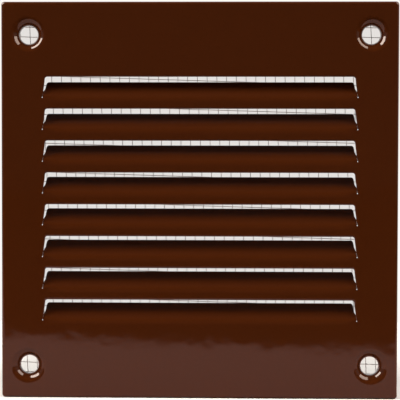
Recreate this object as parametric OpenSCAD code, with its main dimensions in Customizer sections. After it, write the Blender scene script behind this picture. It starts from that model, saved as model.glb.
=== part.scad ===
// Square louvred vent grille with an insect mesh behind its louvres.
// X runs to the right, Z up and Y into the wall. The wall plane is Y = 0, the origin is
// in the middle of it, and the visible face looks along -Y. All sizes are millimetres.

/* [Plate] */
// Width of the plate
plate_w = 100; // [99:1:110]
// Height of the plate
plate_h = 100; // [98:1:110]
// Depth of the folded rim, from the wall to the visible face
rim_depth = 5; // [4.6:0.1:5.6]
// Thickness of the sheet
sheet_t = 0.6; // [0.5:0.05:0.7]
// Outside radius of the folds round the edge
fold_r = 1.2; // [0.8:0.1:1.5]
// Radius of the plate's corners, seen from the front
corner_r = 1.2; // [0.8:0.1:1.5]
// Width of the lips that fold back in behind the mesh
lip_w = 3.5; // [3:0.1:4]
// Width of the slit where two folded sides meet at a corner
seam_w = 0.3; // [0.2:0.05:0.5]

/* [Louvres] */
// Number of louvres
louvre_count = 8; // [1:1:8]
// Distance from one louvre to the next
louvre_pitch = 8; // [7:0.1:8.5]
// Height of the highest cut edge above the middle of the plate
louvre_top_z = 31.1; // [30:0.1:33]
// Width of a cut at its top edge
louvre_top_w = 77.9; // [60:0.1:79]
// Width of a cut at the fold of its flap
louvre_base_w = 79.3; // [79:0.1:80]
// Outside radius of a flap's fold
flap_r = 1.4; // [0.8:0.1:2.4]
// Angle that a flap is folded in by
flap_angle = 44; // [40:1:50]
// Radius of the cut's top corners
cut_corner_r = 0.6; // [0.3:0.1:1]
// Gap between a flap's end and the plate, at the fold
kerf_base = 0.05; // [0.04:0.01:0.1]
// Gap between a flap's end and the plate, at the tip
kerf_tip = 0.25; // [0.15:0.01:0.4]
// Diameter of the relief hole at each end of a fold
relief_d = 0.3; // [0.3:0.05:0.6]

/* [Screw holes] */
// Distance between the holes across the plate
hole_dx = 86.2; // [85:0.1:87]
// Distance between the holes up the plate
hole_dz = 83.3; // [82:0.1:85]
// Diameter of the holes
hole_d = 4.7; // [4:0.1:5]
// Diameter at which the dimple round a hole starts
dimple_d = 9.7; // [9:0.1:10]
// Outside radius of the dimple's rounded shoulder
dimple_r = 1.75; // [1.5:0.05:2]
// Slope of the dimple's wall
dimple_angle = 40; // [35:1:45]

/* [Insect mesh] */
// Diameter of the wire
wire_d = 0.25; // [0.2:0.05:0.35]
// Distance from one wire to the next
wire_pitch = 2.48; // [2:0.02:4]
// Space between the mesh's cut edges and the curve of the folds
mesh_gap = 0.2; // [0.2:0.1:1]
// Lean of the upright wires, their lower ends to the right
warp_lean = 2.8; // [0.1:0.1:5]
// Slope of the cross wires, their right ends down
weft_slope = 1.65; // [0.1:0.05:5]
// Place of one upright wire, to the right of the middle
warp_offset = 0.9; // [-1.2:0.1:1.2]
// Place of one cross wire, above the middle
weft_offset = 0.95; // [-1.2:0.05:1.2]

/* [Hidden] */
$fn = 96;
// Room that a cutting shape reaches past what it cuts
clear = 1;
// Length of sheet by which a bent piece runs into the flat sheet that carries it
overlap = 0.3;
coat_colour = "#431c08";
wire_colour = "#c4c4c0";

front_y = -rim_depth;
// The mesh is two wires thick and lies against the lips, so the flaps are as long as it takes
// for their tips to reach it.
mesh_depth = rim_depth - sheet_t - 2 * wire_d;
flap_tail = (mesh_depth - flap_r * (1 - cos(flap_angle)) - sheet_t * cos(flap_angle)) / sin(flap_angle);
// Height of the flap as seen from the front
flap_h = flap_r * sin(flap_angle) + flap_tail * cos(flap_angle);
// Height of the cut: the flap's length along the middle of the sheet
cut_h = (flap_r - sheet_t / 2) * flap_angle * PI / 180 + flap_tail;
mesh_w = plate_w - 2 * (fold_r + mesh_gap);
mesh_h = plate_h - 2 * (fold_r + mesh_gap);
// Shortest piece of wire that the cut edge of the mesh leaves
wire_min = 6;

// Rounded rectangle about the origin
module round_rect(w, h, r) {
    square([w - 2 * r, h], center = true);
    square([w, h - 2 * r], center = true);
    for (x = [-1, 1], y = [-1, 1])
        translate([x * (w / 2 - r), y * (h / 2 - r)]) circle(r);
}

// Everything behind a line that runs along the x axis up to the origin, bends towards +y
// about the centre [0, c] on the radius r, through the angle, and goes on straight.
module behind_bend(c, r, angle, lead, tail, back) {
    ahead = [cos(angle), sin(angle)];
    inward = [-sin(angle), cos(angle)];
    bend_start = [0, c - r];
    bend_corner = [r * tan(angle / 2), c - r];
    bend_end = [0, c] - r * inward;
    difference() {
        polygon([
            [-lead, c - r],
            bend_corner,
            bend_end + tail * ahead,
            bend_end + tail * ahead + back * inward,
            [-lead, c - r + back]
        ]);
        difference() {
            polygon([bend_start, bend_corner, bend_end, [0, c]]);
            translate([0, c]) circle(r);
        }
    }
}

// Section of a bent sheet, with its outer side towards -y
module bent_sheet(lead, r, angle, tail) {
    difference() {
        behind_bend(r, r, angle, lead, tail, 2 * sheet_t);
        behind_bend(r, r - sheet_t, angle, lead + clear, tail + clear, 3 * sheet_t);
    }
}

// Rounded box that the folded sheet fills, drawn in by inset on every side
module folded_box(inset) {
    w = plate_w - 2 * inset;
    h = plate_h - 2 * inset;
    d = rim_depth - 2 * inset;
    r = fold_r - inset;
    translate([0, -rim_depth / 2, 0]) intersection() {
        rotate([90, 0, 0])
            linear_extrude(d, center = true) round_rect(w, h, corner_r - inset);
        linear_extrude(h, center = true) round_rect(w, d, r);
        rotate([0, 90, 0])
            linear_extrude(w, center = true) round_rect(h, d, r);
    }
}

// The blank with its four sides folded back and their lips folded in
module folded_shell() {
    window_w = plate_w - 2 * lip_w;
    window_h = plate_h - 2 * lip_w;
    difference() {
        folded_box(0);
        folded_box(sheet_t);
        translate([-window_w / 2, -sheet_t - clear, -window_h / 2])
            cube([window_w, sheet_t + 2 * clear, window_h]);
        for (x = [-1, 1], z = [-1, 1]) corner_seam(x, z);
    }
}

// Slit between two folded sides at a corner, from behind the front fold to the rear fold.
// The mitred ends of the lips butt, so the lips are one ring.
module corner_seam(x, z) {
    inner = sheet_t + clear;
    slit_l = sqrt(2) * (inner + clear);
    translate([x * (plate_w / 2 - inner), 0, z * (plate_h / 2 - inner)])
        rotate([0, -atan2(z, x), 0])
            translate([0, front_y + fold_r + sheet_t, -seam_w / 2])
                cube([slit_l, rim_depth - 2 * fold_r - sheet_t, seam_w]);
}

// Outline of a cut or a flap, seen from the front, with the fold at y = 0
module louvre_outline(base_w, top_w, h, below) {
    r = cut_corner_r;
    side = atan2((base_w - top_w) / 2, h);
    corner = [top_w / 2, h];
    centre = [top_w / 2 - r * (1 - sin(side)) / cos(side), h - r];
    difference() {
        polygon([
            [-base_w / 2, -below],
            [base_w / 2, -below],
            [base_w / 2, 0],
            [top_w / 2, h],
            [-top_w / 2, h],
            [-base_w / 2, 0]
        ]);
        for (flip = [0, 1]) mirror([flip, 0]) difference() {
            polygon([centre, centre + r * [cos(side), sin(side)], corner, centre + [0, r]]);
            translate(centre) circle(r);
        }
    }
}

// Where the fold of each flap lies
function fold_z(i) = louvre_top_z - i * louvre_pitch - cut_h;

// Cut on three sides of a flap, through the sheet
module louvre_cut() {
    translate([0, front_y + sheet_t + clear, 0]) rotate([90, 0, 0])
        linear_extrude(sheet_t + 2 * clear)
            louvre_outline(louvre_base_w, louvre_top_w, cut_h, 0);
}

// Flap, folded in about its lower edge
module louvre_flap() {
    base_w = louvre_base_w - 2 * kerf_base;
    top_w = louvre_top_w - 2 * kerf_tip;
    intersection() {
        translate([0, front_y, 0]) rotate([0, -90, 0])
            linear_extrude(louvre_base_w, center = true)
                bent_sheet(overlap, flap_r, flap_angle, flap_tail);
        rotate([90, 0, 0]) linear_extrude(rim_depth + clear)
            louvre_outline(base_w, top_w, flap_h, 2 * overlap);
    }
}

module relief_holes() {
    for (x = [-1, 1])
        translate([x * louvre_base_w / 2, front_y - clear, 0]) rotate([-90, 0, 0])
            cylinder(h = sheet_t + 2 * clear, d = relief_d, $fn = 32);
}

module at_louvres() {
    for (i = [0 : louvre_count - 1]) translate([0, 0, fold_z(i)]) children();
}

// Dimple pressed round a screw hole, with the hole's straight wall
module dimple() {
    far = dimple_d;
    translate([0, front_y, 0]) rotate([-90, 0, 0]) rotate_extrude() intersection() {
        translate([dimple_d / 2, 0]) mirror([1, 0])
            bent_sheet(overlap, dimple_r, dimple_angle, far);
        translate([hole_d / 2, 0]) square(far);
    }
}

module at_holes() {
    for (x = [-1, 1], z = [-1, 1]) translate([x * hole_dx / 2, 0, z * hole_dz / 2]) children();
}

module face_plate() {
    color(coat_colour) difference() {
        union() {
            difference() {
                folded_shell();
                at_louvres() louvre_cut();
                at_holes() translate([0, front_y - clear, 0]) rotate([-90, 0, 0])
                    cylinder(h = sheet_t + 2 * clear, d = dimple_d);
            }
            at_louvres() louvre_flap();
            at_holes() dimple();
        }
        at_louvres() relief_holes();
    }
}

// Straight wires side by side, which stand up and lean to the right by an angle. They cross
// the middle line a pitch apart, one of them at the offset. Each is cut off where it leaves
// the mesh, a rectangle of span by length.
module wires(span, length, lean, offset) {
    run = tan(lean);
    last = ceil((span / 2 + length / 2 * abs(run)) / wire_pitch);
    for (i = [-last : last]) {
        at = offset + i * wire_pitch;
        left = (-span / 2 - at) / run;
        right = (span / 2 - at) / run;
        low = max(-length / 2, min(left, right));
        high = min(length / 2, max(left, right));
        if (high - low > wire_min)
            translate([at, 0, 0]) rotate([0, lean, 0]) translate([0, 0, low / cos(lean)])
                cylinder(h = (high - low) / cos(lean), d = wire_d, $fn = 24);
    }
}

module mesh_warp_wires() {
    color(wire_colour) translate([0, front_y + mesh_depth + wire_d / 2, 0])
        wires(mesh_w, mesh_h, -warp_lean, warp_offset);
}

// Turned so that up becomes right, which turns right into down
module mesh_weft_wires() {
    color(wire_colour) translate([0, front_y + mesh_depth + 1.5 * wire_d, 0])
        rotate([0, 90, 0]) wires(mesh_h, mesh_w, weft_slope, -weft_offset);
}

face_plate();
mesh_warp_wires();
mesh_weft_wires();
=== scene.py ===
import math

import bpy
from mathutils import Matrix, Vector
from mathutils.geometry import delaunay_2d_cdt


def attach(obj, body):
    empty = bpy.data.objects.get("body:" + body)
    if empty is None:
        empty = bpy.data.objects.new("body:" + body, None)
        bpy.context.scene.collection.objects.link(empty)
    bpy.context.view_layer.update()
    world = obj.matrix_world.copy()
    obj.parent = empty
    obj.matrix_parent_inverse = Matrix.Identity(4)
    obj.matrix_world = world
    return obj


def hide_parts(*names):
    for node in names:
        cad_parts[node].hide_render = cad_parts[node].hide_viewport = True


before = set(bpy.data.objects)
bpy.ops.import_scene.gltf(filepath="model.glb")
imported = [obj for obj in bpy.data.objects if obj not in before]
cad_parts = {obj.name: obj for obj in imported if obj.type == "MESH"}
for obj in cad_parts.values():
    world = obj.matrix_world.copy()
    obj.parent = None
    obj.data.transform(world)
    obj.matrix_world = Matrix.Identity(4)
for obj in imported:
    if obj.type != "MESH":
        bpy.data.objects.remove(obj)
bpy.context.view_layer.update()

# Pressed plate. It is one blank of 0.6 mm steel sheet, folded back on its four sides and in again
# behind, as a shallow tray with lips. The folds' corners are pressed to quarter balls, and the sides
# meet behind them at a narrow slit. Sizes are millimetres, and depths run from the face.
plate_half = 50.0
rim_depth = 5.0
sheet_t = 0.6
fold_r = 0.8
fold_steps = 10
lip_w = 3.5
slit_half = 0.15
slit_start = fold_r + sheet_t
edge_round = 0.06
place_digits = 4


def new_sheet():
    """A sheet in the making: points on its outer skin, the faces between them, and its cut edges."""
    return {"outer": [], "inner": [], "facing": [], "faces": [], "cuts": {}, "places": {}}


def sheet_point(sheet, outer, facing, cut=None):
    """Adds a point of the outer skin, with the inner skin a sheet's thickness behind it. On a cut
    edge, cut is the sharp outer corner, the sharp inner corner and how far the rounding runs down
    from each, and the point itself stands back from the corner by the width of the rounding."""
    place = tuple(round(part, place_digits) for part in outer)
    if place not in sheet["places"]:
        sheet["places"][place] = len(sheet["outer"])
        sheet["outer"].append(Vector(outer))
        sheet["facing"].append(Vector(facing).normalized())
        sheet["inner"].append(sheet["outer"][-1] - sheet["facing"][-1] * sheet_t)
    point = sheet["places"][place]
    if cut:
        corner, far_corner, run, far_run = Vector(cut[0]), Vector(cut[1]), cut[2], cut[3]
        sheet["inner"][point] = far_corner + (sheet["outer"][point] - corner).normalized() * far_run
        sheet["cuts"][point] = (corner, far_corner, run, far_run)
    return point


def sheet_face(sheet, corners):
    """Adds a face of the outer skin, turned so that it looks the way its points do."""
    ring = [point for i, point in enumerate(corners) if point != corners[i - 1]]
    if len(ring) < 3:
        return
    places = [sheet["outer"][point] for point in ring]
    area = sum((a.cross(b) for a, b in zip(places, places[1:] + places[:1])), Vector())
    facing = sum((sheet["facing"][point] for point in ring), Vector())
    sheet["faces"].append(ring if area.dot(facing) > 0 else ring[::-1])


quarter_turn = math.pi / 2
diagonal = quarter_turn / 2
slit_turn = slit_half / fold_r
round_turn = (slit_half + edge_round) / fold_r
hair = 0.001


def corner_place(quarter, ball, inset, turn, gap):
    """Place in the plane of the face of a point near a corner of a loop round the tray. ball is the
    radius of the loop's corner, turn the angle round it, and gap how far the point keeps from the
    corner where two lips meet."""
    x = plate_half - max(inset, fold_r) + ball * math.cos(turn)
    z = plate_half - max(inset, fold_r) + ball * math.sin(turn)
    if turn < diagonal:
        z -= gap * (1 - ball / fold_r)
    elif turn > diagonal:
        x -= gap * (1 - ball / fold_r)
    for _ in range(quarter):
        x, z = -z, x
    return x, z


# each row of the tray: radius of its corners, inset from the edge, depth, and how far it is folded
surround = new_sheet()
tray_rows = []
for k in range(fold_steps + 1):
    fold = quarter_turn * k / fold_steps
    depth = fold_r * (1 - math.cos(fold))
    tray_rows.append((fold_r * math.sin(fold), fold_r * (1 - math.sin(fold)), depth, fold))
tray_rows.append((fold_r, 0, slit_start - edge_round, quarter_turn))
last_whole_row = len(tray_rows) - 1
for k in range(fold_steps + 1):
    fold = quarter_turn * (1 + k / fold_steps)
    depth = rim_depth - fold_r - fold_r * math.cos(fold)
    tray_rows.append((fold_r * math.sin(fold), fold_r * (1 - math.sin(fold)), depth, fold))
tray_rows.append((0, lip_w - edge_round, rim_depth, math.pi))
last_row = len(tray_rows) - 1

# a loop of points round the tray for each row, and at each corner a point for each of these turns
corner_turns = [0, 0.2, 0.4, diagonal - round_turn, diagonal]
corner_turns += [quarter_turn - turn for turn in corner_turns[-2::-1]]
loops = []
for r, (ball, inset, depth, fold) in enumerate(tray_rows):
    loop = []
    for quarter in range(4):
        for turn in corner_turns:
            x, z = corner_place(quarter, ball, inset, turn, (slit_half + edge_round) * math.sqrt(2))
            around = turn + quarter * quarter_turn
            facing = (
                math.sin(fold) * math.cos(around),
                -math.cos(fold),
                math.sin(fold) * math.sin(around),
            )
            beside = abs(turn - diagonal) < round_turn + hair
            cut = None
            if r == last_row or (r >= last_whole_row and beside):
                slit_side = min(max(turn, diagonal - slit_turn), diagonal + slit_turn)
                sharp_turn = slit_side if beside else turn
                sharp_inset = lip_w if r == last_row else inset
                sharp_depth = slit_start if r == last_whole_row else depth
                sharp_gap = slit_half * math.sqrt(2)
                sharp_x, sharp_z = corner_place(quarter, ball, sharp_inset, sharp_turn, sharp_gap)
                corner = Vector((sharp_x, sharp_depth - rim_depth, sharp_z))
                cut = (corner, corner - Vector(facing) * sheet_t, edge_round, edge_round)
            if r > last_whole_row and turn == diagonal:
                loop.append(None)
            else:
                loop.append(sheet_point(surround, (x, depth - rim_depth, z), facing, cut))
    loops.append(loop)
for near, far in zip(loops, loops[1:]):
    for k in range(len(near)):
        corners = [near[k - 1], near[k], far[k], far[k - 1]]
        if None not in corners:
            sheet_face(surround, corners)

# Screw holes. Round each of the four holes the sheet is pressed in to a dimple, so that the head of
# a countersunk screw lies flush. The hole is punched first, so the press draws its edge in and
# rounds it. The coat makes the hole a little narrower.
hole_x = 43.2
hole_z = 41.77
hole_r = 2.27
dimple_r = 4.65
shoulder_r = 1.875
shoulder_end = math.radians(34)
shoulder_steps = 6
cone_r = 4.4
cone_end = math.radians(47)
cone_steps = 5
hole_round = 0.3
hole_back_round = 0.1
round_points = 64

# each ring of a dimple: radius, depth and slope
dimple = []
for k in range(shoulder_steps + 1):
    slope = shoulder_end * k / shoulder_steps
    dimple.append((dimple_r - shoulder_r * math.sin(slope), shoulder_r * (1 - math.cos(slope)), slope))
cone_start_r, cone_depth, _ = dimple[-1]
for k in range(1, cone_steps + 1):
    slope = shoulder_end + (cone_end - shoulder_end) * k / cone_steps
    radius = cone_start_r - cone_r * (math.sin(slope) - math.sin(shoulder_end))
    dimple.append((radius, cone_depth + cone_r * (math.cos(shoulder_end) - math.cos(slope)), slope))
last_ring_r = dimple[-1][0]
hole_depth = dimple[-1][1] + (last_ring_r - hole_r) * math.tan(cone_end)

dimple_loops = []
for hole_place_x in (-hole_x, hole_x):
    for hole_place_z in (-hole_z, hole_z):
        rings = []
        for radius, depth, slope in dimple:
            ring = []
            for k in range(round_points):
                out_x = math.cos(2 * math.pi * k / round_points)
                out_z = math.sin(2 * math.pi * k / round_points)
                facing = (-math.sin(slope) * out_x, -math.cos(slope), -math.sin(slope) * out_z)
                spot = (hole_place_x + radius * out_x, depth - rim_depth, hole_place_z + radius * out_z)
                cut = None
                if radius == last_ring_r:
                    edge_x = hole_place_x + hole_r * out_x
                    edge_z = hole_place_z + hole_r * out_z
                    corner = Vector((edge_x, hole_depth - rim_depth, edge_z))
                    wall = Vector((0, sheet_t / math.cos(cone_end), 0))
                    cut = (corner, corner + wall, hole_round, hole_back_round)
                ring.append(sheet_point(surround, spot, facing, cut))
            rings.append(ring)
        for near, far in zip(rings, rings[1:]):
            for k in range(round_points):
                sheet_face(surround, [near[k - 1], near[k], far[k], far[k - 1]])
        dimple_loops.append(rings[0])

# Louvres. Each is lanced on three sides and bent in until its tip stands against the mesh. In the
# middle the bend is wide and starts below the cut. At the ends it is tight and starts at the small
# relief holes, where the sheet swells out beside it. The punch rolls the sheet's edge over the cut.
louvre_count = 8
louvre_pitch = 8.03
louvre_top = 31.13
louvre_middle = 0.06
cut_top_half = 38.95
cut_base_half = 39.65
cut_corner_r = 0.6
cut_corner_steps = 7
kerf_foot = 0.02
kerf_base = 0.15
kerf_tip = 0.02
kerf_end = 0.08
relief_r = 0.13
hinge_half = cut_base_half - relief_r
tip_depth = 3.9
wide_r = 3.2
wide_angle = math.radians(39)
wide_lead = 1.2
wide_rows = 7
tight_r = 1.4
tight_angle = math.radians(44)
end_w = 4.0
strip_half = 45.0
strip_below = 1.4

# how far the sheet runs straight on from the bend to the tip, how high the flap stands, and how
# high the cut is in the flat sheet
lead_angle = math.asin(wide_lead / wide_r)
tail = tip_depth - wide_r * (1 - math.cos(wide_angle)) - sheet_t * math.cos(wide_angle)
tail /= math.sin(wide_angle)
flap_rise = wide_r * math.sin(wide_angle) - wide_lead + (tail - kerf_end) * math.cos(wide_angle)
cut_rise = (wide_r - sheet_t / 2) * (wide_angle - lead_angle) + tail

# widths of the rolled edge: at the relief holes, at heights up the side of the cut, along the rest
# of the cut, on the flap, and on the back. The rounding runs down the cut by a share of the width.
relief_roll = 0.05
side_rolls = {0.5: 0.1, 0.9: 0.15, 1.4: 0.2, 1.9: 0.25, 2.5: 0.3, 3.2: 0.4}
cut_roll = 0.55
flap_roll = 0.08
back_roll = 0.05
roll_share = 0.6

# gaps between the flap's side and the straight cut, at heights above the relief hole. The sheet
# bulges past the cut where a gap is less than nothing. Higher up than back_from, the back of the
# side stands behind the wall of the cut, and past its own front by no more than back_over.
foot_gaps = {0.2: 0.02, 0.4: 0.02, 0.6: 0.02, 0.8: 0.02, 1: 0.03, 1.2: -0.09}
foot_gaps |= {1.4: -0.1, 1.65: -0.02, 1.9: 0.1, 2.15: 0.2, 2.5: 0.22, 3: 0.16}
foot_top = 3.5
back_from = 0.3
back_over = 0.1

# how far in from its end a row across the flap has its first points
row_ends = (0.4, 0.9, 1.5, 2.2, 3.0, 4.1)


def bend_depth(z, lead, radius, angle):
    """How deep a bend has come at a height from the relief holes, and straight on past its angle."""
    bent = min(max(z + lead, 0), radius * math.sin(angle))
    straight = max(z + lead - bent, 0) * (bent > 0)
    return radius - math.sqrt(radius**2 - bent**2) + straight * math.tan(angle)


def flap_depth(x, z):
    """How deep the sheet is bent in on a flap and below it. Over the width end_w at each end, the
    bend changes smoothly from tight to wide."""
    off = min(max((hinge_half - abs(x)) / end_w, 0), 1)
    wide = off * off * (3 - 2 * off)
    tight = bend_depth(z, 0, tight_r, tight_angle)
    return wide * bend_depth(z, wide_lead, wide_r, wide_angle) + (1 - wide) * tight


def flap_place(x, z):
    """Place and facing of the outer skin on a flap and below it."""
    step = 0.01
    lean_x = (flap_depth(x + step, z) - flap_depth(x - step, z)) / (2 * step)
    lean_z = (flap_depth(x, z + step) - flap_depth(x, z - step)) / (2 * step)
    return Vector((x, flap_depth(x, z) - rim_depth, z)), Vector((lean_x, -1, lean_z)).normalized()


def louvre_side(base, top, rise, heights):
    """Right side of a cut or a flap, as seen from the front: a leaning line and a rounded corner."""
    lean = math.atan2(base - top, rise)
    centre = top - cut_corner_r * (1 - math.sin(lean)) / math.cos(lean)
    line = [(base + (top - base) * z / rise, z) for z in heights]
    for k in range(cut_corner_steps + 1):
        turn = lean + (quarter_turn - lean) * k / cut_corner_steps
        line.append((centre + cut_corner_r * math.cos(turn), rise - cut_corner_r * (1 - math.sin(turn))))
    return line


def stand_back(points, widths):
    """Points of an open line moved to its left by a width each, without the line's ends."""
    moved = []
    for k in range(1, len(points) - 1):
        before, here, after = (Vector(points[j]) for j in (k - 1, k, k + 1))
        a = (here - before).normalized()
        b = (after - here).normalized()
        left = Vector((-a.y - b.y, a.x + b.x)) / (1 + a.dot(b))
        moved.append(here + left * widths[k])
    return moved


def stations(half):
    """Where a row across the flap has its points, closer together at its ends."""
    inward = [half - end for end in row_ends]
    return [-x for x in inward] + inward[::-1]


def fill_flat(sheet, loops, spots=(), lines=()):
    """Fills the sheet inside the first loop and outside the others with triangles, whose corners are
    the loops' points and the spots, and which keep to the lines."""
    own = [point for loop in loops for point in loop]
    own += [point for point in spots if point not in own]
    edges = [edge for loop in loops for edge in zip(loop, loop[1:] + loop[:1])]
    flat = [Vector((sheet["outer"][point].x, sheet["outer"][point].z)) for point in own]
    number = {point: k for k, point in enumerate(own)}
    pairs = [(number[a], number[b]) for a, b in [*edges, *lines]]
    same_place = 1e-5
    corners, _, faces, origins, _, _ = delaunay_2d_cdt(flat, pairs, [], 0, same_place)
    for face in faces:
        x, z = sum((corners[k] for k in face), Vector((0, 0))) / len(face)
        crossed = 0
        for a, b in edges:
            (ax, az), (bx, bz) = flat[number[a]], flat[number[b]]
            if (az > z) != (bz > z) and x < ax + (z - az) * (bx - ax) / (bz - az):
                crossed += 1
        if crossed % 2:
            sheet_face(sheet, [own[origins[k][0]] for k in face])


# one strip of the plate with its cut: the edge of the cut first, with three quarters of the relief
# hole, and then the sheet round it
louvre = new_sheet()
forward = (0, -1, 0)
cut_side = [(hinge_half, 0)]
relief_steps = 12
for k in range(1, relief_steps + 1):
    turn = math.pi * (1 + 1.5 * k / relief_steps)
    cut_side.append((cut_base_half + relief_r * math.cos(turn), relief_r * math.sin(turn)))
cut_rolls = [relief_roll] * len(cut_side)
cut_side += louvre_side(cut_base_half, cut_top_half, cut_rise, side_rolls)
cut_rolls += [*side_rolls.values(), *[cut_roll] * (cut_corner_steps + 1)]
mirrored_side = [(-x, z) for x, z in [*cut_side, (0, cut_rise)]]
cut_back = [(-p.x, p.y) for p in stand_back(mirrored_side, [*cut_rolls, 0])]
cut_back = [(cut_side[0][0] - cut_rolls[0], 0), *cut_back]
sides = []
for way in (1, -1):
    side = []
    for (x, z), (back_x, back_z), roll in zip(cut_side, cut_back, cut_rolls):
        corner = Vector((way * x, -rim_depth, z))
        cut = (corner, corner + Vector((0, sheet_t, 0)), roll * roll_share, back_roll)
        side.append(sheet_point(louvre, (way * back_x, -rim_depth, back_z), forward, cut))
    sides.append(side)
strip_top = louvre_pitch - strip_below
border = []
for x, z in (
    (-strip_half, -strip_below),
    (strip_half, -strip_below),
    (strip_half, strip_top),
    (-strip_half, strip_top),
):
    border.append(sheet_point(louvre, (x, -rim_depth, z), forward))
hinge_end = cut_back[0][0]
hinge = [sheet_point(louvre, *flap_place(x, 0)) for x in stations(hinge_end)]

# rows of points below the hinge, where the wide bend starts
spots = []
lines = []
for k in range(1, wide_rows + 1):
    row = []
    for x in (-hinge_end, *stations(hinge_end), hinge_end):
        row.append(sheet_point(louvre, *flap_place(x, -k * wide_lead / wide_rows)))
    spots += row
    lines += zip(row, row[1:])
fill_flat(louvre, [border, sides[0] + sides[1][::-1] + hinge], spots, lines)

# the flap, in rows from the hinge to its tip
relief_end = math.acos(-kerf_foot / relief_r)
flap_relief_steps = 4
flap_side = [(hinge_half, 0)]
for k in range(1, flap_relief_steps + 1):
    turn = math.pi - (math.pi - relief_end) * k / flap_relief_steps
    flap_side.append((cut_base_half + relief_r * math.cos(turn), relief_r * math.sin(turn)))
flap_rolls = [relief_roll] * len(flap_side)
for z, gap in foot_gaps.items():
    flap_side.append((cut_base_half - (cut_base_half - cut_top_half) * z / cut_rise - gap, z))
flap_side += louvre_side(cut_base_half - kerf_base, cut_top_half - kerf_tip, flap_rise, (foot_top,))
flap_rolls += [flap_roll] * (len(flap_side) - len(flap_rolls))
flap_back = stand_back([*flap_side, (0, flap_rise)], [*flap_rolls, 0])
tip_z = flap_side[-1][1]
flap_rows = [[sides[1][0], *hinge, sides[0][0]]]
for (x, z), back, roll in zip(flap_side[1:], flap_back, flap_rolls[1:]):
    row = []
    for at in (-back.x, *stations(back.x), back.x):
        end = abs(at) == back.x
        cut = None
        if end or z == tip_z:
            corner, lean = flap_place(math.copysign(x, at) if end else at, z)
            far = corner - lean * sheet_t
            if end and z > back_from:
                wall = cut_base_half - kerf_foot
                wall -= (wall - cut_top_half + kerf_tip) * far.z / flap_rise
                far.x = math.copysign(min(wall, x + back_over), at)
            cut = (corner, far, roll, back_roll)
        row.append(sheet_point(louvre, *flap_place(at, back.y), cut))
    flap_rows.append(row)
for near, far in zip(flap_rows, flap_rows[1:]):
    for k in range(1, len(near)):
        sheet_face(louvre, [near[k - 1], near[k], far[k], far[k - 1]])

# the rest of the face, which leaves the block of louvres open
block_top = louvre_top - cut_rise + strip_top
heights = [block_top - k * louvre_pitch for k in range(louvre_count + 1)]
block = [(louvre_middle - strip_half, z) for z in heights]
block += [(louvre_middle + strip_half, z) for z in heights[::-1]]
block_loop = [sheet_point(surround, (x, -rim_depth, z), forward) for x, z in block]
fill_flat(surround, [list(dict.fromkeys(loops[0])), block_loop, *dimple_loops])

# Powder coat, baked on the steel: a glossy dark brown polyester. It levels out to a smooth skin with
# a faint orange peel, which makes the edge of what it mirrors wavy, and it fills the cut edges round.
# The grain of the powder is finer than 0.6 mm, but is drawn as coarse as that to show.
swell_size = 12.0
swell_height = 0.04
peel_size = 5.0
peel_height = 0.06
grain_size = 0.6

# the colour sockets of a node that mixes two colours
mix_a = 6
mix_b = 7
mix_out = 2


def add(tree, kind, inputs=None, **settings):
    """Adds a node with its settings. Its inputs are set to values, or linked to outputs or nodes."""
    node = tree.nodes.new(kind)
    for name, value in settings.items():
        setattr(node, name, value)
    for name, value in (inputs or {}).items():
        if isinstance(value, bpy.types.Node):
            value = value.outputs[0]
        if isinstance(value, bpy.types.NodeSocket):
            tree.links.new(value, node.inputs[name])
        else:
            node.inputs[name].default_value = value
    return node


def linear(code):
    """sRGB hex to linear colour."""
    parts = [int(code[k : k + 2], 16) / 255 for k in (1, 3, 5)]
    return (*(c / 12.92 if c <= 0.04045 else ((c + 0.055) / 1.055) ** 2.4 for c in parts), 1)


def new_material(name):
    """A material with no nodes in it yet."""
    material = bpy.data.materials.new(name)
    material.use_nodes = True
    material.node_tree.nodes.clear()
    return material


coat = new_material("powder_coated_steel_gloss_brown")
tree = coat.node_tree
place = add(tree, "ShaderNodeTexCoord").outputs["Object"]
swell = add(tree, "ShaderNodeTexNoise", {"Vector": place, "Scale": 1000 / swell_size, "Detail": 0.0})
peel = add(
    tree,
    "ShaderNodeTexNoise",
    {"Vector": place, "Scale": 1000 / peel_size, "Detail": 1.5, "Roughness": 0.5},
)
grain = add(tree, "ShaderNodeTexNoise", {"Vector": place, "Scale": 1000 / grain_size, "Detail": 2.0})
wide_bump = add(tree, "ShaderNodeBump", {"Height": swell, "Strength": 1.0, "Distance": swell_height / 1000})
bump = add(
    tree,
    "ShaderNodeBump",
    {"Height": peel, "Strength": 1.0, "Distance": peel_height / 1000, "Normal": wide_bump},
)
tone = add(
    tree,
    "ShaderNodeMix",
    {"Factor": grain, mix_a: linear("#3e1a06"), mix_b: linear("#451d08")},
    data_type="RGBA",
)
haze = add(tree, "ShaderNodeMapRange", {"Value": grain, "To Min": 0.05, "To Max": 0.08})
paint = add(
    tree,
    "ShaderNodeBsdfPrincipled",
    {"Base Color": tone.outputs[mix_out], "Roughness": haze, "IOR": 1.5, "Normal": bump},
)
add(tree, "ShaderNodeOutputMaterial", {"Surface": paint})

# The louvres are set out down the plate at their pitch and welded into the sheet round them, so
# that plate and flaps are one sheet. The coat goes on last, over the whole of it.
weld_distance = 0.000001


def new_shape_tree(name, sockets, result):
    """A tree of nodes that makes a shape, with named inputs and the shape as its named output."""
    tree = bpy.data.node_groups.new(name, "GeometryNodeTree")
    for socket, kind in sockets.items():
        tree.interface.new_socket(socket, in_out="INPUT", socket_type="NodeSocket" + kind)
    tree.interface.new_socket(result, in_out="OUTPUT", socket_type="NodeSocketGeometry")
    return tree


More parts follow.
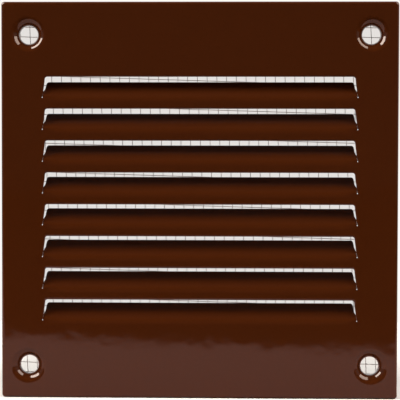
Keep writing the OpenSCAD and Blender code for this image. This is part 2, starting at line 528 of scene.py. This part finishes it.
sockets = {
    "Plate": "Geometry",
    "Louvre": "Object",
    "Count": "Int",
    "Pitch": "Float",
    "Middle": "Float",
    "Highest fold": "Float",
    "Coat": "Material",
}
tree = new_shape_tree("louvres in a plate", sockets, "Plate")
given = add(tree, "NodeGroupInput").outputs
down = add(tree, "ShaderNodeMath", {0: given["Pitch"], 1: -1.0}, operation="MULTIPLY")
start = add(tree, "ShaderNodeCombineXYZ", {"X": given["Middle"], "Z": given["Highest fold"]})
step = add(tree, "ShaderNodeCombineXYZ", {"Z": down})
folds = add(
    tree,
    "GeometryNodeMeshLine",
    {"Count": given["Count"], "Start Location": start, "Offset": step},
)
shape = add(tree, "GeometryNodeObjectInfo", {"Object": given["Louvre"]}).outputs["Geometry"]
spread = add(tree, "GeometryNodeInstanceOnPoints", {"Points": folds, "Instance": shape})
real = add(tree, "GeometryNodeRealizeInstances", {"Geometry": spread})
both = add(tree, "GeometryNodeJoinGeometry", {"Geometry": given["Plate"]})
tree.links.new(real.outputs[0], both.inputs[0])
welded = add(tree, "GeometryNodeMergeByDistance", {"Geometry": both, "Distance": weld_distance})
coated = add(tree, "GeometryNodeSetMaterial", {"Geometry": welded, "Material": given["Coat"]})
add(tree, "NodeGroupOutput", {"Plate": coated})


def sheet_mesh(sheet, name):
    """Closes the sheet between its skins, with rounded cut edges, into a mesh that keeps which way
    each point faces. An edge that isn't cut stays open, to be welded to the next sheet."""
    spots = [*sheet["outer"], *sheet["inner"]]
    facing = [*sheet["facing"], *(-way for way in sheet["facing"])]
    count = len(sheet["outer"])
    faces = [*sheet["faces"], *([point + count for point in face[::-1]] for face in sheet["faces"])]
    steps = 3
    rounding = {}
    # at each point of a cut edge, a curve from the outer skin round the sharp corner to the wall of
    # the cut, and one from the wall to the inner skin
    for point, (corner, far_corner, run, far_run) in sheet["cuts"].items():
        down = (far_corner - corner).normalized()
        line = [point]
        for start, sharp, wall in (
            (point, corner, corner + down * run),
            (point + count, far_corner, far_corner - down * far_run),
        ):
            out = sharp - spots[start]
            along = out.normalized()
            bend = []
            for k in range(1, steps + 1):
                t = k / steps
                spot = spots[start] * (1 - t) ** 2 + sharp * 2 * t * (1 - t) + wall * t * t
                lean = facing[start] * (1 - t) * out.length + along * t * (wall - sharp).length
                bend.append(len(spots))
                spots.append(spot)
                facing.append(lean.normalized())
            line.extend(bend if start == point else [*bend[::-1], start])
        rounding[point] = line
    used = {(a, b) for face in sheet["faces"] for a, b in zip(face, face[1:] + face[:1])}
    for a, b in used:
        if (b, a) not in used and a in rounding and b in rounding:
            for k in range(len(rounding[a]) - 1):
                faces.append([rounding[b][k], rounding[a][k], rounding[a][k + 1], rounding[b][k + 1]])
    mesh = bpy.data.meshes.new(name)
    mesh.from_pydata([spot / 1000 for spot in spots], [], faces)
    mesh.shade_smooth()
    layer = mesh.attributes.new("facing", "FLOAT_VECTOR", "POINT")
    layer.data.foreach_set("vector", [part for way in facing for part in way])
    return mesh


def grow(source, tree, values, name):
    """Runs a tree on an object and gives back the plain mesh object that it makes."""
    bpy.context.scene.collection.objects.link(source)
    modifier = source.modifiers.new("grow", "NODES")
    modifier.node_group = tree
    for item in tree.interface.items_tree:
        if item.in_out == "INPUT" and item.name in values:
            modifier[item.identifier] = values[item.name]
    bpy.context.view_layer.update()
    grown = source.evaluated_get(bpy.context.evaluated_depsgraph_get())
    mesh = bpy.data.meshes.new_from_object(grown)
    bpy.data.objects.remove(source)
    mesh.name = name
    piece = bpy.data.objects.new(name, mesh)
    bpy.context.scene.collection.objects.link(piece)
    return piece


louvre_shape = bpy.data.objects.new("louvre", sheet_mesh(louvre, "louvre"))
plate = grow(
    bpy.data.objects.new("surround", sheet_mesh(surround, "surround")),
    tree,
    {
        "Louvre": louvre_shape,
        "Count": louvre_count,
        "Pitch": louvre_pitch / 1000,
        "Middle": louvre_middle / 1000,
        "Highest fold": (louvre_top - cut_rise) / 1000,
        "Coat": coat,
    },
    "pressed_plate",
)
bpy.data.objects.remove(louvre_shape)

# the plate keeps the way that each of its points was made to face, so that no weld and no edge of a
# triangle shows in the gloss
facing = [0.0] * (3 * len(plate.data.vertices))
plate.data.attributes["facing"].data.foreach_get("vector", facing)
plate.data.normals_split_custom_set_from_vertices([facing[k : k + 3] for k in range(0, len(facing), 3)])
plate.data.attributes.remove(plate.data.attributes["facing"])
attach(plate, "root")
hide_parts("face_plate")

# Upright wires. The insect mesh is woven from thin galvanised wire: each wire passes over and under
# the wires across it, so it carries a crimp. The mesh is cut from the roll, lies a little askew, and
# is held between the tips of the louvres and the lips of the plate.
wire_r = 0.09
warp_pitch = 2.48
weft_pitch = 2.45
mesh_half = 48.6
mesh_middle = -0.85
warp_lean = math.radians(2.8)
warp_offset = 0.9
weft_slope = math.radians(1.7)
weft_offset = 1.08
shortest_wire = 6.0

# Zinc coat, hot dipped on drawn wire: a pale, matt, silvery metal with faint lighter and darker
# patches. The real patches are finer than the wire, and are drawn 1.2 mm long to show.
patch_size = 1.2
patch_height = 0.02
zinc = new_material("galvanised_steel_wire_drawn")
tree = zinc.node_tree
place = add(tree, "ShaderNodeTexCoord").outputs["Object"]
patches = add(tree, "ShaderNodeTexNoise", {"Vector": place, "Scale": 1000 / patch_size, "Detail": 3.0})
tone = add(
    tree,
    "ShaderNodeMix",
    {"Factor": patches, mix_a: linear("#e6e6e4"), mix_b: linear("#f4f4f2")},
    data_type="RGBA",
)
haze = add(tree, "ShaderNodeMapRange", {"Value": patches, "To Min": 0.55, "To Max": 0.7})
bump = add(tree, "ShaderNodeBump", {"Height": patches, "Strength": 0.4, "Distance": patch_height / 1000})
metal = add(
    tree,
    "ShaderNodeBsdfPrincipled",
    {"Base Color": tone.outputs[mix_out], "Metallic": 1.0, "Roughness": haze, "Normal": bump},
)
add(tree, "ShaderNodeOutputMaterial", {"Surface": metal})

# A wire is numbered from the middle one. It leans, runs from edge to edge of the square of mesh, and
# swings to the other side of each next cross wire. A stub at a corner of the mesh is left out.
sockets = {name: "Int" for name in ("Wires a side", "Points", "Sides")}
sockets |= {name: "Float" for name in ("Pitch", "Offset", "Lean", "Crimp", "Middle", "Radius")}
sockets |= {name: "Float" for name in ("Cross pitch", "Cross offset", "Cross lean")}
sockets |= {"Half size": "Float", "Shortest": "Float", "Metal": "Material"}
weave = new_shape_tree("woven wires", sockets, "Wires")
tree = weave
given = add(tree, "NodeGroupInput").outputs
count = add(tree, "ShaderNodeMath", {0: given["Wires a side"], 1: 2.0, 2: 1.0}, operation="MULTIPLY_ADD")
points = add(tree, "GeometryNodePoints", {"Count": count})
line = add(tree, "GeometryNodeCurvePrimitiveLine", {"End": (0, 0, 1)})
fine = add(tree, "GeometryNodeResampleCurve", {"Curve": line, "Count": given["Points"]})
spread = add(tree, "GeometryNodeInstanceOnPoints", {"Points": points, "Instance": fine})
index = add(tree, "GeometryNodeInputIndex")
number = add(tree, "ShaderNodeMath", {0: index, 1: given["Wires a side"]}, operation="SUBTRACT")
noted = add(
    tree,
    "GeometryNodeStoreNamedAttribute",
    {"Geometry": spread, "Name": "wire", "Value": number},
    data_type="FLOAT",
    domain="INSTANCE",
)
real = add(tree, "GeometryNodeRealizeInstances", {"Geometry": noted})

# where the wire starts and ends
wire = add(tree, "GeometryNodeInputNamedAttribute", {"Name": "wire"}, data_type="FLOAT")
run = add(tree, "ShaderNodeMath", {0: given["Lean"]}, operation="TANGENT")
apart = add(tree, "ShaderNodeMath", {0: wire, 1: given["Pitch"]}, operation="MULTIPLY")
at = add(tree, "ShaderNodeMath", {0: given["Offset"], 1: apart}, operation="ADD")
minus_half = add(tree, "ShaderNodeMath", {0: given["Half size"], 1: -1.0}, operation="MULTIPLY")
to_left = add(tree, "ShaderNodeMath", {0: minus_half, 1: at}, operation="SUBTRACT")
to_right = add(tree, "ShaderNodeMath", {0: given["Half size"], 1: at}, operation="SUBTRACT")
left_end = add(tree, "ShaderNodeMath", {0: to_left, 1: run}, operation="DIVIDE")
right_end = add(tree, "ShaderNodeMath", {0: to_right, 1: run}, operation="DIVIDE")
lower = add(tree, "ShaderNodeMath", {0: left_end, 1: right_end}, operation="MINIMUM")
upper = add(tree, "ShaderNodeMath", {0: left_end, 1: right_end}, operation="MAXIMUM")
low = add(tree, "ShaderNodeMath", {0: minus_half, 1: lower}, operation="MAXIMUM")
high = add(tree, "ShaderNodeMath", {0: given["Half size"], 1: upper}, operation="MINIMUM")
length = add(tree, "ShaderNodeMath", {0: high, 1: low}, operation="SUBTRACT")
stub = add(tree, "ShaderNodeMath", {0: length, 1: given["Shortest"]}, operation="LESS_THAN")
kept = add(tree, "GeometryNodeDeleteGeometry", {"Geometry": real, "Selection": stub}, domain="CURVE")

# a point's place along the wire and across it
share = add(tree, "GeometryNodeSplineParameter")
part = add(tree, "ShaderNodeMath", {0: share, 1: length}, operation="MULTIPLY")
along = add(tree, "ShaderNodeMath", {0: low, 1: part}, operation="ADD")
drift = add(tree, "ShaderNodeMath", {0: along, 1: run}, operation="MULTIPLY")
across = add(tree, "ShaderNodeMath", {0: at, 1: drift}, operation="ADD")

# the swing: a half wave from one cross wire to the next, the other way on each second wire
cross_run = add(tree, "ShaderNodeMath", {0: given["Cross lean"]}, operation="TANGENT")
rise = add(tree, "ShaderNodeMath", {0: across, 1: cross_run}, operation="MULTIPLY")
level = add(tree, "ShaderNodeMath", {0: along, 1: rise}, operation="ADD")
past = add(tree, "ShaderNodeMath", {0: level, 1: given["Cross offset"]}, operation="SUBTRACT")
crossed = add(tree, "ShaderNodeMath", {0: past, 1: given["Cross pitch"]}, operation="DIVIDE")
phase = add(tree, "ShaderNodeMath", {0: crossed, 1: math.pi}, operation="MULTIPLY")
wave = add(tree, "ShaderNodeMath", {0: phase}, operation="COSINE")
half_turns = add(tree, "ShaderNodeMath", {0: wire, 1: math.pi}, operation="MULTIPLY")
sign = add(tree, "ShaderNodeMath", {0: half_turns}, operation="COSINE")
swing = add(tree, "ShaderNodeMath", {0: wave, 1: sign}, operation="MULTIPLY")
bulge = add(tree, "ShaderNodeMath", {0: swing, 1: given["Crimp"]}, operation="MULTIPLY")
depth = add(tree, "ShaderNodeMath", {0: given["Middle"], 1: bulge}, operation="ADD")

spot = add(tree, "ShaderNodeCombineXYZ", {"X": across, "Y": depth, "Z": along})
laid = add(tree, "GeometryNodeSetPosition", {"Geometry": kept, "Position": spot})
circle = add(
    tree,
    "GeometryNodeCurvePrimitiveCircle",
    {"Resolution": given["Sides"], "Radius": given["Radius"]},
)
solid = add(
    tree,
    "GeometryNodeCurveToMesh",
    {"Curve": laid, "Profile Curve": circle, "Fill Caps": True},
)
smooth = add(tree, "GeometryNodeSetShadeSmooth", {"Geometry": solid})
plated = add(tree, "GeometryNodeSetMaterial", {"Geometry": smooth, "Material": given["Metal"]})
add(tree, "NodeGroupOutput", {"Wires": plated})

sizes = {
    "Wires a side": 21,
    "Points": 200,
    "Sides": 6,
    "Half size": mesh_half / 1000,
    "Shortest": shortest_wire / 1000,
    "Radius": wire_r / 1000,
    "Middle": mesh_middle / 1000,
    "Metal": zinc,
}
uprights = grow(
    bpy.data.objects.new("strand", bpy.data.meshes.new("strand")),
    weave,
    {
        **sizes,
        "Pitch": warp_pitch / 1000,
        "Offset": warp_offset / 1000,
        "Lean": -warp_lean,
        "Cross pitch": weft_pitch / 1000,
        "Cross offset": weft_offset / 1000,
        "Cross lean": weft_slope,
        "Crimp": wire_r / 1000,
    },
    "mesh_upright_wires",
)
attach(uprights, "root")
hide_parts("mesh_warp_wires")

# Cross wires. They are the same galvanised wire, woven the other way: over where an upright wire
# goes under. The tree lays them upright, and they are then turned to lie across.
crosses = grow(
    bpy.data.objects.new("strand", bpy.data.meshes.new("strand")),
    weave,
    {
        **sizes,
        "Pitch": weft_pitch / 1000,
        "Offset": weft_offset / 1000,
        "Lean": -weft_slope,
        "Cross pitch": warp_pitch / 1000,
        "Cross offset": warp_offset / 1000,
        "Cross lean": warp_lean,
        "Crimp": -wire_r / 1000,
    },
    "mesh_cross_wires",
)
for vertex in crosses.data.vertices:
    vertex.co = (vertex.co.z, vertex.co.y, vertex.co.x)
crosses.data.flip_normals()
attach(crosses, "root")
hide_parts("mesh_weft_wires")

# Floor. It is a sheet of matt white card that the plate stands on, and it ends 130 mm behind it. The
# coat shows a painted reflection of it, pinkish pale near the plate up to a slanting line and dark
# beyond. Lengths from here on are metres.
floor_reach = 3.0
floor_back = 0.13
floor_level = -0.05
mirror_slant = 0.2
mirror_dark = -0.100
mirror_pale = -0.078
shade_side = 0.052
shade_side_end = 0.062
shade_back = 0.02
bounce_start = -0.2
bounce_full = -0.1
fade_start = 0.2
fade_end = 0.42
corners = []
for x, y in (
    (-floor_reach, -floor_reach),
    (floor_reach, -floor_reach),
    (floor_reach, floor_back),
    (-floor_reach, floor_back),
):
    corners.append((x, y, floor_level))
floor_mesh = bpy.data.meshes.new("floor")
floor_mesh.from_pydata(corners, [], [(0, 1, 2, 3)])
floor = bpy.data.objects.new("floor", floor_mesh)
bpy.context.scene.collection.objects.link(floor)
card = new_material("floor_card_white")
tree = card.node_tree
rays = add(tree, "ShaderNodeLightPath").outputs
spot = add(tree, "ShaderNodeSeparateXYZ", {0: add(tree, "ShaderNodeTexCoord").outputs["Object"]}).outputs

# painted reflection: what the coat mirrors, pinkish pale near the plate up to a slanting line and dark
# beyond
slant = add(tree, "ShaderNodeMath", {0: spot["X"], 1: mirror_slant}, operation="MULTIPLY")
askew = add(tree, "ShaderNodeMath", {0: spot["Y"], 1: slant}, operation="SUBTRACT")
painted_reflection_mask = add(
    tree,
    "ShaderNodeMapRange",
    {"Value": askew, "From Min": mirror_dark, "From Max": mirror_pale},
)
mirrored = add(
    tree,
    "ShaderNodeMix",
    {"Factor": painted_reflection_mask, mix_a: linear("#0c0c0c"), mix_b: linear("#c09e9a")},
    data_type="RGBA",
)

# what is seen of it, with a painted shadow of the plate that makes it a little greyer behind the plate
aside = add(tree, "ShaderNodeMath", {0: spot["X"]}, operation="ABSOLUTE")
inward = add(
    tree,
    "ShaderNodeMapRange",
    {"Value": aside, "From Min": shade_side_end, "From Max": shade_side},
)
aft = add(tree, "ShaderNodeMapRange", {"Value": spot["Y"], "From Min": 0.0, "From Max": shade_back})
painted_shadow_mask = add(tree, "ShaderNodeMath", {0: inward, 1: aft}, operation="MULTIPLY")
card_with_painted_shadow = add(
    tree,
    "ShaderNodeMix",
    {"Factor": painted_shadow_mask, mix_a: linear("#e8e6e2"), mix_b: linear("#cccbc9")},
    data_type="RGBA",
)
seen = add(
    tree,
    "ShaderNodeMix",
    {"Factor": rays["Is Glossy Ray"], mix_a: card_with_painted_shadow.outputs[mix_out], mix_b: mirrored.outputs[mix_out]},
    data_type="RGBA",
)

# what it throws back on the plate, less from far in front
near = add(
    tree,
    "ShaderNodeMapRange",
    {"Value": spot["Y"], "From Min": bounce_start, "From Max": bounce_full},
)
bounce = add(
    tree,
    "ShaderNodeMix",
    {"Factor": near, mix_a: linear("#585755"), mix_b: linear("#d6d4d0")},
    data_type="RGBA",
)
thrown = add(
    tree,
    "ShaderNodeMix",
    {"Factor": rays["Is Diffuse Ray"], mix_a: seen.outputs[mix_out], mix_b: bounce.outputs[mix_out]},
    data_type="RGBA",
)
matt = add(tree, "ShaderNodeBsdfDiffuse", {"Color": thrown.outputs[mix_out]})

# far off, the camera sees it fade into the backdrop
x_squared = add(tree, "ShaderNodeMath", {0: spot["X"], 1: 2.0}, operation="POWER")
y_squared = add(tree, "ShaderNodeMath", {0: spot["Y"], 1: 2.0}, operation="POWER")
squares = add(tree, "ShaderNodeMath", {0: x_squared, 1: y_squared}, operation="ADD")
distance = add(tree, "ShaderNodeMath", {0: squares}, operation="SQRT")
far = add(
    tree,
    "ShaderNodeMapRange",
    {"Value": distance, "From Min": fade_start, "From Max": fade_end},
)
gone = add(tree, "ShaderNodeMath", {0: far, 1: rays["Is Camera Ray"]}, operation="MULTIPLY")
paper = add(tree, "ShaderNodeEmission", {"Color": linear("#fffaf6")})
faded = add(tree, "ShaderNodeMixShader", {0: gone, 1: matt, 2: paper})
add(tree, "ShaderNodeOutputMaterial", {"Surface": faded})
floor.data.materials.append(card)

# Backdrop and room. The backdrop is pale paper behind the plate, and the room behind the camera is
# dark. The paper carries a painted shadow of the plate: it is darker where the plate stands before it,
# which is given here as slopes: how far the plate's middle, sides and top are aside or up for each metre
# from the camera.
shade_middle = 0.0185
shade_half = 0.176
shade_half_end = 0.189
shade_top = 0.144
shade_top_end = 0.163
painted_shadow_level = 0.78
world = bpy.data.worlds.new("studio")
bpy.context.scene.world = world
world.use_nodes = True
tree = world.node_tree
tree.nodes.clear()
rays = add(tree, "ShaderNodeLightPath").outputs
look = add(tree, "ShaderNodeSeparateXYZ", {0: add(tree, "ShaderNodeTexCoord").outputs["Generated"]}).outputs

# what the coat mirrors: the room, dark behind the camera and overhead, and the pale backdrop
side = add(
    tree,
    "ShaderNodeMapRange",
    {"Value": look["Y"], "From Min": -0.8, "From Max": -0.35, "To Min": 0.02, "To Max": 0.25},
)
overhead = add(
    tree,
    "ShaderNodeMapRange",
    {"Value": look["Z"], "From Min": 0.3, "From Max": 0.6, "To Min": 1.0, "To Max": 0.1},
)
behind = add(
    tree,
    "ShaderNodeMapRange",
    {"Value": look["Y"], "From Min": 0.05, "From Max": 0.3, "To Min": 0.0, "To Max": 0.95},
)
room = add(tree, "ShaderNodeMath", {0: side, 1: overhead}, operation="MULTIPLY")
gloss = add(tree, "ShaderNodeMath", {0: room, 1: behind}, operation="ADD")
gloss_level = add(tree, "ShaderNodeMath", {0: rays["Is Glossy Ray"], 1: gloss}, operation="MULTIPLY")

# what the camera sees: paper, with a painted shadow that makes it darker behind the plate
slope_x = add(tree, "ShaderNodeMath", {0: look["X"], 1: look["Y"]}, operation="DIVIDE")
from_middle = add(tree, "ShaderNodeMath", {0: slope_x, 1: shade_middle}, operation="ADD")
off_middle = add(tree, "ShaderNodeMath", {0: from_middle}, operation="ABSOLUTE")
beside = add(
    tree,
    "ShaderNodeMapRange",
    {"Value": off_middle, "From Min": shade_half, "From Max": shade_half_end},
)
slope_z = add(tree, "ShaderNodeMath", {0: look["Z"], 1: look["Y"]}, operation="DIVIDE")
above = add(
    tree,
    "ShaderNodeMapRange",
    {"Value": slope_z, "From Min": shade_top, "From Max": shade_top_end},
)
outside = add(tree, "ShaderNodeMath", {0: beside, 1: above}, operation="MAXIMUM")
turned_away = add(tree, "ShaderNodeMath", {0: look["Y"], 1: 0.0}, operation="LESS_THAN")
clear = add(tree, "ShaderNodeMath", {0: outside, 1: turned_away}, operation="MAXIMUM")
paper = add(tree, "ShaderNodeMapRange", {"Value": clear, "To Min": painted_shadow_level, "To Max": 1.0})
shown = add(
    tree,
    "ShaderNodeMath",
    {0: rays["Is Camera Ray"], 1: rays["Is Transmission Ray"]},
    operation="MAXIMUM",
)
shown_level = add(tree, "ShaderNodeMath", {0: shown, 1: paper}, operation="MULTIPLY")

# what lights the plate
soft = add(
    tree,
    "ShaderNodeMapRange",
    {"Value": look["Y"], "From Min": -0.2, "From Max": 0.6, "To Min": 0.05, "To Max": 0.55},
)
soft_level = add(tree, "ShaderNodeMath", {0: rays["Is Diffuse Ray"], 1: soft}, operation="MULTIPLY")
both = add(tree, "ShaderNodeMath", {0: gloss_level, 1: shown_level}, operation="ADD")
level = add(tree, "ShaderNodeMath", {0: both, 1: soft_level}, operation="ADD")
sky = add(tree, "ShaderNodeBackground", {"Color": linear("#fffaf6"), "Strength": level})
add(tree, "ShaderNodeOutputWorld", {"Surface": sky})

# Softboxes. Two stand high on the left and the right of the plate, over a slanting plane each. One
# lamp of each pair lights the plate, and the other, a little nearer, is what the coat mirrors.


def lamp(name, corner, across, back, radiance, colour, lights, mirrored):
    """A soft lamp over the rectangle that two edges span from a corner, one across and one back to
    the wall. It shines towards the plate, and it lights things, or is mirrored in them, or both."""
    corner, across, back = Vector(corner), Vector(across), Vector(back)
    data = bpy.data.lights.new(name, "AREA")
    data.shape = "RECTANGLE"
    data.size, data.size_y = across.length, back.length
    data.energy = radiance * math.pi * data.size * data.size_y
    data.color = linear(colour)[:3]
    item = bpy.data.objects.new(name, data)
    middle = corner + (across + back) / 2
    x, y = across.normalized(), back.normalized()
    if x.cross(y).dot(middle) < 0:
        y = -y
    item.matrix_world = Matrix((x, y, x.cross(y))).transposed().to_4x4()
    item.location = middle
    item.visible_diffuse = lights
    item.visible_glossy = mirrored
    bpy.context.scene.collection.objects.link(item)


lamp(
    "left_softbox",
    corner=(-0.345, -0.42, 0.753),
    across=(-0.405, 0, -0.45),
    back=(0, 0.42, 0),
    radiance=11.0,
    colour="#fffaf4",
    lights=True,
    mirrored=False,
)
lamp(
    "right_softbox",
    corner=(0.75, -0.42, 0.3),
    across=(-0.405, 0, 0.45),
    back=(0, 0.42, 0),
    radiance=9.0,
    colour="#fffaf4",
    lights=True,
    mirrored=False,
)
lamp(
    "left_mirrored",
    corner=(-0.331, -0.33, 0.723),
    across=(-0.389, 0, -0.432),
    back=(0, 0.33, 0),
    radiance=16.0,
    colour="#ffe9db",
    lights=False,
    mirrored=True,
)
lamp(
    "right_mirrored",
    corner=(0.72, -0.403, 0.288),
    across=(-0.389, 0, 0.432),
    back=(0, 0.403, 0),
    radiance=7.5,
    colour="#ffe5d3",
    lights=False,
    mirrored=True,
)

# Camera. It looks at the plate from in front, 260 mm off, a little from the right and from above the
# middle, as the photograph was taken.
lens = bpy.data.cameras.new("camera")
lens.sensor_width = 36
lens.lens = 93.068
camera = bpy.data.objects.new("camera", lens)
camera.location = (0.0048, -0.265, 0.00696)
camera.rotation_euler = (math.radians(90 - 1.492), math.radians(-0.119), math.radians(1.018))
bpy.context.scene.collection.objects.link(camera)
bpy.context.scene.camera = camera
bpy.context.scene.view_settings.view_transform = "Standard"
